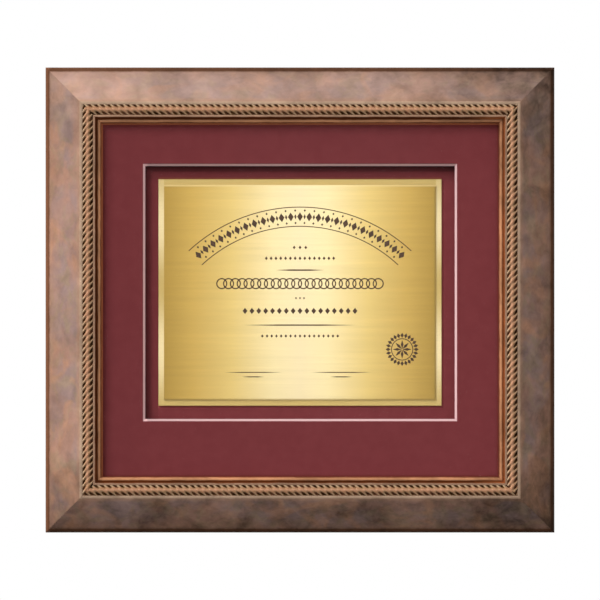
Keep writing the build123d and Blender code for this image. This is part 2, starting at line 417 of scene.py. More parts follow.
@dataclass(frozen=True)
class Patina(Leaf):
    """Bronze leaf on wood, clouded with age: brown shoulder, pale fillets, dark groove, copper lip."""

    rail_width: float = 0.0498
    rose: Colour = (150, 115, 100)
    mauve: Colour = (137, 113, 107)
    olive: Colour = (140, 119, 96)
    copper: Colour = (166, 122, 96)
    amber: Colour = (142, 100, 74)
    # painted sheen of the top rail, as the light falls on it from above
    top_rail_sheen: Colour = (154, 128, 116)
    fawn: Colour = (158, 123, 102)
    # painted light in the groove of the right and bottom rails
    groove_light: Colour = (160, 92, 52)

    # The moulding's members: where each starts and ends, as a share of the rail's width, and its colour
    members: tuple[tuple[float, float, Colour], ...] = (
        (0.0, 0.060, (82, 52, 36)),  # shoulder
        (0.104, 0.60, (146, 116, 100)),  # slope
        (0.618, 0.668, (164, 137, 115)),  # outer fillet
        (0.672, 0.848, (54, 24, 8)),  # wash under the rope
        (0.856, 0.888, (149, 117, 95)),  # inner fillet
        (0.897, 0.938, (82, 34, 6)),  # groove
        (0.948, 0.980, (188, 133, 96)),  # lip
        (0.999, 1.0, (112, 58, 36)),  # its worn edge
    )

    def paint(self, graph: Graph) -> None:
        """Paints the members by their place across the rail, clouds the slope and paints light and
        shade by side.

        Args:
            graph: The material's graph.
        """
        x, y, z = graph.axes()
        across, upright = self.across(x, z)
        share = (across + graph.noise(90.0, 3.0).sway(0.00025)) / self.rail_width
        rubbed = (x * upright.span(0, 1, 0.7, 1), y + upright, z * upright.span(0, 1, 1, 0.7))
        along = graph.node("ShaderNodeCombineXYZ", enumerate(rubbed)).outputs[0]
        patches = graph.noise(74.0, 4.0, 0.6, 0.8, along)
        flecks = graph.noise(230.0, 4.0, 0.62, 0.6, along)
        # clouds of patina, with a painted sheen on the top rail
        aged = graph.mix(
            self.rose,
            (graph.noise(30.0, 4.0, 0.55, 0.5, along).span(0.42, 0.58), self.mauve),
            (patches.span(0.46, 0.62, 0.0, 0.6), self.olive),
            (graph.noise(46.0, 3.0, 0.5, 1.0, along).span(0.52, 0.68, 0.0, 0.65), self.copper),
            (share.span(0.30, 0.09) * 0.35, self.amber),
            # painted sheen: the top rail greyer and paler, as the light falls on it from above
            (z.span(0.150, 0.168, 0.0, 0.4), self.top_rail_sheen),
            (share.span(0.545, 0.60) * 0.7, self.fawn),
        )
        on_slope = share.span(0.060, 0.104) * share.span(0.622, 0.612)
        in_groove = share.span(0.890, 0.900) * share.span(0.944, 0.932)
        # 1 on the right rail and a quarter on the bottom rail: where painted light goes into the groove
        # and painted shade onto the lip
        far_side = x.span(0.150, 0.170).most(z.span(-0.130, -0.150, 0.0, 0.25))
        stops = [(stop, colour) for start, end, colour in self.members for stop in (start, end)]
        # the groove of the right and bottom rails gets painted light, as the light falls on its far
        # wall
        colour = graph.mix(
            graph.ramp(share, stops), (on_slope, aged), (in_groove * far_side, self.groove_light)
        )
        tone = graph.noise(11.0, 2.0).sway(0.12) + 1.0
        tone += graph.noise(60.0, 3.0, 0.5, 0.6, along).sway(0.2)
        tone += flecks.sway(0.09)
        # painted light and shade by place, full on the slope and weaker further in
        tone += self.painted_shading(x, z, upright) * share.span(0.608, 0.622, 1.0, 0.3)
        # painted shade: the lip darker on the right and bottom rails
        tone += far_side * share.span(0.944, 0.952, 0.0, -0.12)
        colour = graph.tone(colour, tone)
        graph.shade(colour, patches.span(0.3, 0.7, 0.42, 0.58), 0.1, Specular_Tint=self.gleam)
        graph.bump(flecks, 0.00012, 0.35)
        graph.bump(patches, 0.0004, 0.25)

    def painted_shading(self, x: Value, z: Value, upright: Value) -> Value:
        """Works out the painted light and shade over the frame, darkest at the right and the bottom.

        Args:
            x: The place to the right.
            z: The place upwards.
            upright: 1 on the upright rails.

        Returns:
            The painted light and shade added to the tone.
        """
        # painted shade: the bottom rail darker
        low = z.span(-0.20, -0.16, -0.52, -0.30) + z.span(-0.16, -0.14, 0.0, 0.30)
        low = low.most((upright * (x > 0.0)).span(0.0, 1.0, -1.0, -0.33))
        # painted light and shade from left to right: the left a little lighter, the right darker
        level = x.span(-0.2, 0.1, 0.07, -0.04) + x.span(0.10, 0.18, 0.0, -0.26)
        level = (level + low).most(-0.69)
        # painted shade on the top rail's outer edge, painted light on the left rail's outer edge, and a
        # little painted shade over the upper part
        level += z.span(0.1965, 0.2045, 0.0, -0.24)
        level += x.span(-0.2265, -0.2235, 0.85, 0.0)
        level += z.span(0.09, 0.13, 0.0, -0.07)
        # painted light along the top, fading from left to right
        painted_light_along_top = x.span(-0.20, 0.0, 0.26, 0.0) + x.span(0.08, 0.20, 0.10, -0.12)
        painted_light_along_top *= upright.span(0.0, 1.0, 1.0, 0.2)
        level += painted_light_along_top * z.span(0.160, 0.168)
        # painted shade on the upper ends of the upright rails
        return level + upright * z.span(0.14, 0.17, 0.0, -0.12)


@dataclass(frozen=True)
class RopeLeaf(Leaf):
    """Copper-coloured leaf on the rope, with dark glaze and painted shade in its pits."""

    floor_depth: float = 0.0309
    crest_depth: float = 0.0349
    centre: float = 0.038
    blush: Colour = (184, 126, 98)
    moss: Colour = (124, 96, 56)
    # painted highlight on the crest's lit flank
    crest_highlight: Colour = (190, 146, 122)
    rib: Colour = (168, 141, 112)

    # From the pits at 0 to the crest at 1, the pits darkened by glaze and painted shade
    depths: tuple[tuple[float, Colour], ...] = (
        (0.0, (42, 22, 6)),
        (0.34, (64, 34, 12)),
        (0.52, (100, 68, 38)),
        (0.66, (138, 110, 82)),
        (0.80, (146, 116, 88)),
        (0.93, (158, 116, 86)),
    )

    def paint(self, graph: Graph) -> None:
        """Paints by depth: pits of dark glaze and painted shade, a copper crest and paler ribs.

        Args:
            graph: The material's graph.
        """
        x, y, z = graph.axes()
        across, upright = self.across(x, z)
        from_middle = across - self.centre
        # the flank away from the light: the inner one on the left and top rails, the outer one on the
        # right and bottom rails
        turn = upright.span(0, 1, z.through("SIGN"), (x * -1.0).through("SIGN"))
        away_from_light = from_middle * turn
        height = graph.noise(420.0, 3.0).sway(0.00025) - y
        # painted light and shade: pits on the flank towards the light painted lighter, on the far flank
        # darker
        share = height.span(self.floor_depth, self.crest_depth) + away_from_light.span(-0.003, 0.003, 0.11, -0.13)
        # painted highlight along the crest on the flank towards the light
        lit = away_from_light.span(-0.0014, -0.0006) * away_from_light.span(0.0004, -0.0004)
        beside = abs(from_middle).span(0.0024, 0.0036) * share.span(0.55, 0.75)
        colour = graph.mix(
            graph.ramp(share, self.depths),
            (graph.noise(70.0, 3.0, 0.5, 0.8).span(0.42, 0.62, 0.0, 0.3), self.blush),
            (graph.noise(260.0, 2.0, 0.5, 0.8).span(0.5, 0.7, 0.0, 0.4), self.moss),
            (lit * 0.35, self.crest_highlight),
        )
        # painted shade on the flank away from the light
        colour = graph.tone(colour, away_from_light.span(-0.0002, 0.0012, 1.03, 0.91))
        colour = graph.mix(colour, (beside, self.rib))
        graph.shade(colour, 0.42, 0.2, Specular_Tint=self.gleam)
        graph.bump(graph.noise(900.0, 3.0), 0.00008, 0.4)


@dataclass(frozen=True)
class Grain:
    """Noise that mottles a finish: its clouds, where they set in, their colour and their relief."""

    clouds: tuple[float, ...]
    reach: tuple[float, ...]
    colour: Colour
    relief: Optional[Pair] = None
    stretch: Optional[tuple[float, float, float]] = None


@dataclass(frozen=True)
class Grained(Finish):
    """Plain stuff such as wood, brown paper, foam or rubber: one colour, mottled by its grains."""

    base: Colour
    roughness: float
    specular: float
    grains: tuple[Grain, ...]

    def paint(self, graph: Graph) -> None:
        """Lays each grain over the colour and adds its relief.

        Args:
            graph: The material's graph.
        """
        colour: Any = self.base
        for grain in self.grains:
            place = graph.stretched(*grain.stretch) if grain.stretch else None
            noise = graph.noise(*grain.clouds, place=place)
            colour = graph.mix(colour, (noise.span(*grain.reach), grain.colour))
            if grain.relief:
                graph.bump(noise, *grain.relief)
        graph.shade(colour, self.roughness, self.specular)


@dataclass(frozen=True)
class MatPaper(Finish):
    """Soft burgundy paper with a fine tooth, with painted shade and painted copper reflection beside
    the lip.
    """

    sight_x: float = 0.1779
    sight_z: float = 0.1583

    def paint(self, graph: Graph) -> None:
        """Gives the paper its even colour, faint mottling and tooth.

        Args:
            graph: The material's graph.
        """
        tooth = graph.noise(2600.0, 3.0, 0.6)
        colour = graph.mix(
            (114, 51, 54),
            (graph.noise(120.0, 3.0).span(0.35, 0.65), (118, 54, 57)),
            (tooth.span(0.5, 0.75, 0.0, 0.16), (94, 40, 43)),
        )
        graph.shade(self.shaded(graph, colour), 0.9, 0.06, Specular_Tint=(214, 120, 120))
        graph.bump(tooth, 0.00006, 0.5)

    def shaded(self, graph: Graph, colour: Socket) -> Socket:
        """Paints shade beside the lip at the right and below, and its copper reflection at the left and
        above.

        Args:
            graph: The material's graph.
            colour: The paper's colour.

        Returns:
            The colour by place.
        """
        x, _, z = graph.axes()
        nearest = (x + self.sight_x).least(self.sight_z - z)
        farthest = (self.sight_x - x).least(z + self.sight_z)
        return graph.mix(
            colour,
            (farthest.span(0.0, 0.0026, 0.7, 0.0), (102, 43, 34)),  # painted brown shade, right and below
            (nearest.span(0.0, 0.004, 0.45, 0.0), (126, 50, 28)),  # painted warm light reflected from the lip, left and above
            (nearest.span(0.0006, 0.0015, 0.9, 0.0), (196, 116, 74)),  # painted copper reflection against the lip
        )


@dataclass(frozen=True)
class SunkPaper(MatPaper):
    """The same paper behind the window, with painted shadow along its left and top edge and painted
    light and brass reflection round the plaque.
    """

    window_left: float = -0.1385
    window_top: float = 0.1198
    plaque_right: float = 0.127
    plaque_bottom: float = -0.0949
    plaque_top: float = 0.1083

    def shaded(self, graph: Graph, colour: Socket) -> Socket:
        """Paints shadow along the window's left and top edge, and light and brass reflection round the
        plaque.

        Args:
            graph: The material's graph.
            colour: The paper's colour.

        Returns:
            The colour by place.
        """
        x, _, z = graph.axes()
        from_left = x - self.window_left
        from_top = self.window_top - z
        above = z - self.plaque_top
        inside = x > -self.plaque_right
        beyond = (x - self.plaque_right).most((self.plaque_bottom - z) * inside)
        # painted light on the paper right of and below the plaque, where its shadow would fall
        outside = (beyond > 0.0) * z.span(self.plaque_top, self.plaque_top - 0.006)
        plaque_edge_light = outside * beyond.span(0.0, 0.0035, 1.0, 0.14) + 1.0
        # painted shadow along the window's top edge, deepest at the edge
        dull = from_top.span(0.0, 0.0055, 0.28, 0.84) + from_top.span(0.010, 0.015, 0.0, 0.16)
        # painted brass reflection close beside the plaque's right and lower edges
        colour = graph.mix(colour, (outside * beyond.span(0.0, 0.002, 0.35, 0.0), (120, 70, 50)))
        # painted light round the plaque and painted shadow along the window's left edge
        colour = graph.tone(colour, plaque_edge_light, from_left.span(0.0, 0.0025, 0.55, 1.0), dull)
        # painted brass reflection on the paper just above the plaque
        over = (above > 0.0) * inside * (x < self.plaque_right) * above.span(0.0, 0.002, 0.6, 0.0)
        return graph.mix(colour, (over, (140, 88, 56)))


@dataclass(frozen=True)
class MatCore(Finish):
    """White board under the mat's paper, showing at the bevel."""

    def paint(self, graph: Graph) -> None:
        """Gives the cut board its pale colour, its fibres and painted light and shade for each side of
        the bevel.

        Args:
            graph: The material's graph.
        """
        fibres = graph.noise(1800.0, 3.0, 0.6)
        x, _, z = graph.axes()
        # painted light and shade by side: the left bevel much lighter, the top a little lighter, the
        # bottom darker
        bevel_side_light = x.span(-0.138, -0.136, 0.4, 0.0) + z.span(0.118, 0.120, 0.0, 0.04)
        bevel_side_light += z.span(-0.107, -0.105, -0.10, 0.0)
        colour = graph.mix((212, 174, 175), (fibres.span(0.35, 0.65), (202, 164, 165)))
        graph.shade(graph.tone(colour, bevel_side_light + 1.0), 0.9, 0.2)
        graph.bump(fibres, 0.00005, 0.4)


@dataclass(frozen=True)
class Glazing(Finish):
    """Clear sheet with a low-glare coat, seen only at a slant."""

    def paint(self, graph: Graph) -> None:
        """Lets nearly everything through, less so at a slant.

        Args:
            graph: The material's graph.
        """
        facing = graph.node("ShaderNodeLayerWeight", {"Blend": 0.12}).outputs["Facing"]
        colour = graph.mix((112, 120, 117), (graph.noise(40.0), (120, 128, 125)))
        clear = Value(graph, facing).span(0.0, 1.0, 0.004, 0.30)
        graph.shade(colour, 0.06, 0.3, Alpha=clear)


@dataclass(frozen=True)
class BrushedBrass(Finish):
    """Lacquered brass, brushed from side to side, with a painted highlight band down its middle, a
    painted highlight on its upper rim and painted shade on its right and lower rims.
    """

    half_width: float = 0.122
    top: float = 0.1032
    foot: float = -0.0898
    # painted highlight of the upper rim
    pale: Colour = (228, 206, 146)
    shaded: Colour = (146, 118, 48)

    # A painted highlight band, palest in the middle: from the middle of the plate at 0 to its sides at
    # 1
    highlight_band: tuple[tuple[float, Colour], ...] = (
        (0.0, (226, 206, 158)),
        (0.20, (230, 210, 154)),
        (0.50, (223, 193, 113)),
        (0.78, (204, 167, 80)),
        (1.0, (174, 139, 52)),
    )

    def paint(self, graph: Graph) -> None:
        """Draws the brush lines, paints the highlight band and the rims' highlight and shade, and
        stretches the gloss across the lines.

        Args:
            graph: The material's graph.
        """
        x, _, z = graph.axes()
        lines = graph.noise(1.0, 4.0, 0.6, 0.0, graph.stretched(14.0, 1.0, 1500.0))
        broad = graph.noise(1.0, 3.0, 0.5, 0.0, graph.stretched(8.0, 1.0, 260.0))
        # painted shade along the right and lower rims
        right_rim = x.span(self.half_width - 0.0023, self.half_width - 0.0012)
        dull = right_rim.most(z.span(self.foot + 0.0018, self.foot + 0.0008))
        dull *= z.span(self.top - 0.0012, self.top - 0.0022)
        colour = graph.mix(
            graph.ramp(abs(x) / self.half_width, self.highlight_band),
            # painted highlight on the upper rim
            (z.span(self.top - 0.0020, self.top - 0.0008) * 0.5, self.pale),
            (dull * 0.7, self.shaded),
        )
        shine = lines.sway(0.035) + 1.0 + broad.span(0.35, 0.75, -0.03, 0.06)
        tangent = graph.node("ShaderNodeTangent", direction_type="UV_MAP", uv_map="brush")
        graph.shade(
            graph.tone(colour, shine),
            0.44,
            Metallic=0.35,
            Anisotropic=0.92,
            IOR=1.7,
            Tangent=tangent.outputs["Tangent"],
        )
        graph.bump(lines, 0.00001, 0.25)


@dataclass(frozen=True)
class PolishedBrass(Finish):
    """Satin brass of the plate that borders the plaque, with painted reflections in bands along its
    sides.
    """

    side_from: float = 0.1219
    # where the painted reflection bands peak, and how closely they repeat
    crest: float = 0.070
    turns: float = 54.6

    def paint(self, graph: Graph) -> None:
        """Gives the plate its colour, painted reflection bands, painted light from top to bottom and
        hairline scratches.

        Args:
            graph: The material's graph.
        """
        x, _, z = graph.axes()
        hairs = graph.noise(1.0, 3.0, 0.6, 0.0, graph.stretched(40.0, 1.0, 900.0))
        # painted reflections in bands along the plate's left and right sides
        side_reflection_bands = ((z - self.crest) * self.turns).through("COSINE").span(-1.0, 1.0)
        side_reflection_bands *= abs(x) > self.side_from
        colour = graph.mix((188, 162, 98), (side_reflection_bands, (228, 208, 158)))
        # painted light: brighter towards the bottom, darker towards the top
        colour = graph.tone(
            colour, hairs.span(0.3, 0.7, 0.95, 1.05), z.span(-0.10, 0.10, 1.16, 0.925)
        )
        graph.shade(colour, hairs.span(0.3, 0.7, 0.36, 0.46), 0.2, Metallic=0.3)
        graph.bump(hairs, 0.00001, 0.3)


@dataclass(frozen=True)
class PlatedSteel(Finish):
    """Plated steel of the hangers, screws, wedges and points."""

    light: Colour = (196, 196, 192)
    dark: Colour = (158, 160, 160)
    roughness: float = 0.34

    def paint(self, graph: Graph) -> None:
        """Gives the plating its crystals, and dulls it unevenly.

        Args:
            graph: The material's graph.
        """
        crystals = graph.noise(420.0, 3.0, 0.6, 0.8)
        colour = graph.mix(self.light, (crystals.span(0.35, 0.65), self.dark))
        dull = graph.noise(90.0, 3.0).span(0.3, 0.7, self.roughness - 0.07, self.roughness + 0.1)
        graph.shade(colour, dull, Metallic=0.9)
        graph.bump(crystals, 0.00003, 0.3)


PATINA = Patina("aged_bronze_leaf", "moulding")
RAW_WOOD = Grained(
    "raw_pine", "moulding", (196, 164, 120), 0.8, 0.25,
    (
        Grain((60.0, 5.0, 0.6, 0.4), (0.35, 0.65), (166, 128, 84), (0.0003, 0.3), (0.5, 8.0, 0.5)),
        Grain((700.0, 2.0, 0.6), (0.55, 0.75, 0.0, 0.3), (132, 96, 60)),  # pores
    ),
)
ROPE_LEAF = RopeLeaf("copper_rope_leaf", "rope_ornament")
MAT_PAPER = MatPaper("burgundy_paper", "burgundy_mat")
SUNK_PAPER = SunkPaper("burgundy_paper_sunk", "burgundy_mat")
MAT_CORE = MatCore("white_mat_core", "mat_core")
GLAZING = Glazing("clear_sheet", "clear_glazing")
BRUSHED = BrushedBrass("brushed_brass_sheet", "brushed_brass")
POLISHED = PolishedBrass("polished_brass_sheet", "polished_brass")
ENAMEL = Grained(
    "engraving_fill", "brushed_brass", (56, 36, 20), 0.55, 0.3,
    (Grain((500.0, 3.0), (0.3, 0.7), (76, 50, 28)),),
)
FOAM = Grained(
    "white_foam_board", "foam_board", (232, 230, 224), 0.85, 0.2,
    (Grain((900.0, 3.0, 0.6), (0.35, 0.65), (214, 211, 204), (0.0001, 0.4)),),
)
TAPE = Grained(
    "white_foam_tape", "foam_tape", (226, 226, 222), 0.85, 0.2,
    (Grain((1600.0, 3.0, 0.6), (0.35, 0.65), (206, 206, 200), (0.0001, 0.4)),),
)
KRAFT = Grained(
    "kraft_sheet", "kraft_paper", (186, 148, 106), 0.82, 0.25,
    (
        Grain(  # fibres
            (900.0, 4.0, 0.65, 0.6), (0.35, 0.65), (170, 130, 88), (0.00015, 0.4), (1.0, 1.0, 0.35)
        ),
        Grain(  # ribs
            (1.0, 2.0), (0.4, 0.7, 0.0, 0.25), (158, 119, 79), (0.0001, 0.4), (420.0, 1.0, 6.0)
        ),
        Grain((18.0, 3.0), (0.4, 0.7, 0.0, 0.25), (196, 160, 118)),  # pale clouds
        Grain((1500.0, 2.0), (0.68, 0.76, 0.0, 0.6), (120, 84, 52)),  # flecks
    ),
)
ZINC = PlatedSteel("zinc_plate", "zinc_steel")
NICKEL = PlatedSteel("nickel_plate", "nickel_steel", (206, 202, 194), (176, 172, 164), 0.22)
RUBBER = Grained(
    "bumper_black_rubber", "bumper_rubber", (52, 50, 48), 0.72, 0.3,
    (Grain((1400.0, 3.0, 0.6), (0.4, 0.7), (76, 73, 70), (0.00008, 0.5)),),
)


class Bench:
    """A new mesh, shaped with edit-mode tools and then set down in its place."""

    def __init__(
        self,
        name: str,
        primitive: Callable[..., Any] = bpy.ops.mesh.primitive_plane_add,
        **sizes: Any,
    ) -> None:
        """Adds a primitive and opens it for editing, selected all over.

        Args:
            name: The piece's name.
            primitive: The operator that adds the first shape, a flat square if left out.
            **sizes: Its sizes, in millimetres.
        """
        bpy.ops.object.select_all(action="DESELECT")
        primitive(**(sizes or {"size": 1.0}))
        self.piece = bpy.context.active_object
        self.piece.name = name
        self.piece.data.name = name
        bpy.ops.object.transform_apply(location=True, rotation=True, scale=True)
        bpy.ops.object.mode_set(mode="EDIT")
        bpy.ops.mesh.select_mode(type=Pick.POINTS.value)
        self.pick_all()

    def pick(self, kind: Pick, test: Callable[[Any], bool]) -> None:
        """Selects the points, edges or faces for which a test holds.

        Args:
            kind: What to select.
            test: Gets each one and says whether it is selected.
        """
        bpy.ops.mesh.select_mode(type=kind.value)
        bpy.ops.mesh.select_all(action="DESELECT")
        shell = bmesh.from_edit_mesh(self.piece.data)
        items = {Pick.POINTS: shell.verts, Pick.EDGES: shell.edges, Pick.FACES: shell.faces}
        for item in items[kind]:
            if test(item):
                item.select_set(True)
        shell.select_flush_mode()
        bmesh.update_edit_mesh(self.piece.data)

    def pick_all(self) -> None:
        """Selects the whole mesh."""
        bpy.ops.mesh.select_all(action="SELECT")

    def move(self, offset: Point) -> None:
        """Moves what is selected."""
        bpy.ops.transform.translate(value=tuple(offset))

    def resize(self, factors: Point, about: Point = ORIGIN) -> None:
        """Resizes what is selected about a point."""
        bpy.ops.transform.resize(value=tuple(factors), center_override=tuple(about))

    def extrude(self, offset: Point) -> None:
        """Pulls what is selected out into new faces or edges."""
        bpy.ops.mesh.extrude_region_move(TRANSFORM_OT_translate={"value": tuple(offset)})

    def slab(self, width: float, height: float, middle: float, depths: Pair) -> None:
        """Makes the flat square a sheet.

        Args:
            width: Its width.
            height: Its height.
            middle: How far its middle is over the frame's.
            depths: Its back and its front, counted from the wall.
        """
        self.resize((width, height, 1.0))
        self.move((0.0, middle, depths[0]))
        self.extrude((0.0, 0.0, depths[1] - depths[0]))

    def bevel(self, width: float, segments: int) -> None:
        """Rounds off the selected edges."""
        bpy.ops.mesh.bevel(offset=width, segments=segments, affect="EDGES", clamp_overlap=True)

    def soften(self, depth: float, width: float, segments: int) -> None:
        """Rounds off the edges that lie at a depth.

        Args:
            depth: How far from the wall they lie.
            width: Width of the rounding.
            segments: How many faces it has.
        """
        self.pick(Pick.EDGES, lambda e: all(abs(point.co.z - depth) < 0.001 for point in e.verts))
        self.bevel(width, segments)

    def mitre(self, span: float, reach: float, fill: bool = True) -> None:
        """Cuts both ends of a side at 45 degrees.

        Args:
            span: From the frame's middle to the side's outer edge.
            reach: Half of the side's length.
            fill: Whether the cuts are closed with faces.
        """
        for sign in (-1, 1):
            self.pick_all()
            corner, way = (sign * reach, span, 0.0), (sign, -1.0, 0.0)
            bpy.ops.mesh.bisect(plane_co=corner, plane_no=way, clear_outer=True, use_fill=fill)

    def outline(self, points: Sequence[Point]) -> None:
        """Draws a closed outline from one point to the next and fills it."""
        self.stroke(points)
        bpy.ops.mesh.edge_face_add()

    def stroke(self, points: Sequence[Point]) -> None:
        """Makes the flat square an open line and leaves all of it selected.

        Args:
            points: The line's points in order.
        """
        bpy.ops.mesh.merge(type="CENTER")
        self.pick_all()
        self.resize(ORIGIN)
        self.move(points[0])
        for start, end in zip(points, points[1:]):
            step = tuple(Vector(end) - Vector(start))
            bpy.ops.mesh.extrude_vertices_move(TRANSFORM_OT_translate={"value": step})
        self.pick_all()

    def spin(self, steps: int, degrees: float, centre: Point, copies: bool = False) -> None:
        """Turns what is selected clockwise about the front direction, as a sweep or as copies.

        Args:
            steps: How many steps it takes.
            degrees: The whole turn.
            centre: The point that it turns about.
            copies: Whether each step is a loose copy.
        """
        bpy.ops.mesh.spin(
            steps=steps,
            dupli=copies,
            use_auto_merge=False,
            angle=math.radians(degrees),
            center=tuple(centre),
            axis=(0.0, 0.0, 1.0),
        )

    def weld(self) -> None:
        """Joins points that lie on each other."""
        self.pick_all()
        bpy.ops.mesh.remove_doubles(threshold=0.001)

    def modify(self, kind: str, **settings: Any) -> None:
        """Adds a modifier, applies it and goes back to editing.

        Args:
            kind: The modifier's type.
            **settings: Its settings.
        """
        bpy.ops.object.mode_set(mode="OBJECT")
        modifier = self.piece.modifiers.new(kind.lower(), kind)
        for key, value in settings.items():
            setattr(modifier, key, value)
        bpy.ops.object.modifier_apply(modifier=modifier.name)
        bpy.ops.object.mode_set(mode="EDIT")

    def repeat(self, count: int, step: float, join: bool = False) -> None:
        """Repeats the mesh to the right.

        Args:
            count: How many there are in the end.
            step: From one to the next.
            join: Whether points that meet are joined.
        """
        self.modify(
            "ARRAY",
            count=count,
            use_relative_offset=False,
            use_constant_offset=True,
            constant_offset_displace=(step, 0.0, 0.0),
            use_merge_vertices=join,
            merge_threshold=0.001,
        )

    def finish(
        self,
        place: Matrix,
        finish: Finish,
        body: str = BODY,
        smooth: float = 35.0,
        behind: Optional[Finish] = None,
    ) -> bpy.types.Object:
        """Closes the piece, sets it down, paints it and makes it ride.

        Args:
            place: Where it goes.
            finish: Its finish.
            body: The body that carries it.
            smooth: Faces that meet at less than this many degrees are shaded as one.
            behind: Another finish for the faces that look to the wall.

        Returns:
            The piece.
        """
        self.pick_all()
        bpy.ops.mesh.normals_make_consistent(inside=False)
        bpy.ops.object.mode_set(mode="OBJECT")
        piece = self.piece
        piece.data.materials.append(finish.material())
        if behind is not None:
            piece.data.materials.append(behind.material())
            for polygon in piece.data.polygons:
                polygon.material_index = int(polygon.normal.z < -0.6)
        piece.matrix_world = place @ piece.matrix_world
        bpy.ops.object.select_all(action="DESELECT")
        piece.select_set(True)
        bpy.context.view_layer.objects.active = piece
        bpy.ops.object.transform_apply(location=True, rotation=True, scale=True)
        bpy.ops.object.shade_smooth_by_angle(angle=math.radians(smooth))
        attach(piece, body)
        piece.data.calc_loop_triangles()
        log.info("%s: %d triangles", piece.name, len(piece.data.loop_triangles))
        return piece


def drawn(start: Pair, strokes: Sequence[Sequence[float]]) -> list[Point]:
    """Draws an outline of straight and curved strokes.

    Args:
        start: Its first point.
        strokes: The end of each stroke, and for a curve its height over its chord, to the left of
            its way, and how many straight pieces it has.

    Returns:
        The outline's points.
    """
    points = [Vector(start)]
    for right, up, *curve in strokes:
        bulge, steps = curve or (0.0, 1)
        first = points[-1]
        chord = Vector((right, up)) - first
        left = Vector((-chord.y, chord.x)).normalized()
        for step in range(1, steps + 1):
            share = step / steps
            points.append(first + chord * share + left * (bulge * 4 * share * (1 - share)))
    return points


@dataclass
class Frame:
    """Outer sizes that the rails and their ornament share."""

    width: float = 456.0
    height: float = 416.8
    rail_back: float = 4.7
    picture_z: float = 6.7

    def halves(self, side: Side) -> Pair:
        """From the frame's middle out to a side, and half of that side's length."""
        halves = (self.height / 2, self.width / 2)
        return halves if side in (Side.TOP, Side.BOTTOM) else halves[::-1]


@dataclass
class Rail:
    """One moulding rail: reverse slope, shoulder, two fillets, rope channel, groove and lip."""

    frame: Frame
    side: Side
    rebate_start: float = 43.45
    overrun: float = 4.0
    seam: float = 0.16

    # The moulding's outline from the rebate round its back and front: place across from the outer
    # edge, height over the back, and for a curve its height over its chord and its steps
    section: tuple[tuple[float, ...], ...] = (
        (1.0, 0.0),  # chamfer at the back
        (0.0, 1.0),
        (0.0, 16.4),  # outer wall
        (3.9, 19.2, 0.9, 8),  # shoulder
        (4.2, 19.6, -0.05, 2),
        (27.8, 28.3, 0.2, 6),  # reverse slope
        (30.8, 28.95, 0.1, 4),
        (31.0, 29.1),  # outer fillet
        (33.3, 29.0, 0.12, 6),
        (33.3, 26.2),  # rope channel
        (42.75, 26.2),
        (42.75, 29.0),  # inner fillet
        (44.7, 28.9, 0.12, 6),
        (44.7, 22.6),  # groove
        (46.7, 22.6),
        (46.7, 23.9),  # lip
        (50.1, 22.0, 0.85, 7),
        (50.1, 19.0),
        (43.45, 19.0),  # rebate
    )

    def is_cut(self, face: Any) -> bool:
        """Whether a face is one of the mitres."""
        return abs(abs(face.normal.x) - math.sqrt(0.5)) < 0.01

    def build(self) -> None:
        """Draws the section, pulls it along the side, mitres both ends and eases the seams."""
        span, reach = self.frame.halves(self.side)
        bench = Bench(f"rail_{self.side.label}_leafed")
        start = -reach - self.overrun
        section = drawn((self.rebate_start, 0.0), self.section)
        bench.outline([(start, span - x, self.frame.rail_back + up) for x, up in section])
        bench.pick_all()
        bench.extrude((-2 * start, 0.0, 0.0))
        bench.mitre(span, reach)
        bench.pick(Pick.EDGES, lambda edge: len({self.is_cut(face) for face in edge.link_faces}) == 2)
        bench.bevel(self.seam, 1)
        piece = bench.finish(self.side.place, PATINA, behind=RAW_WOOD)
        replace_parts(piece, f"rail_{self.side.label}")


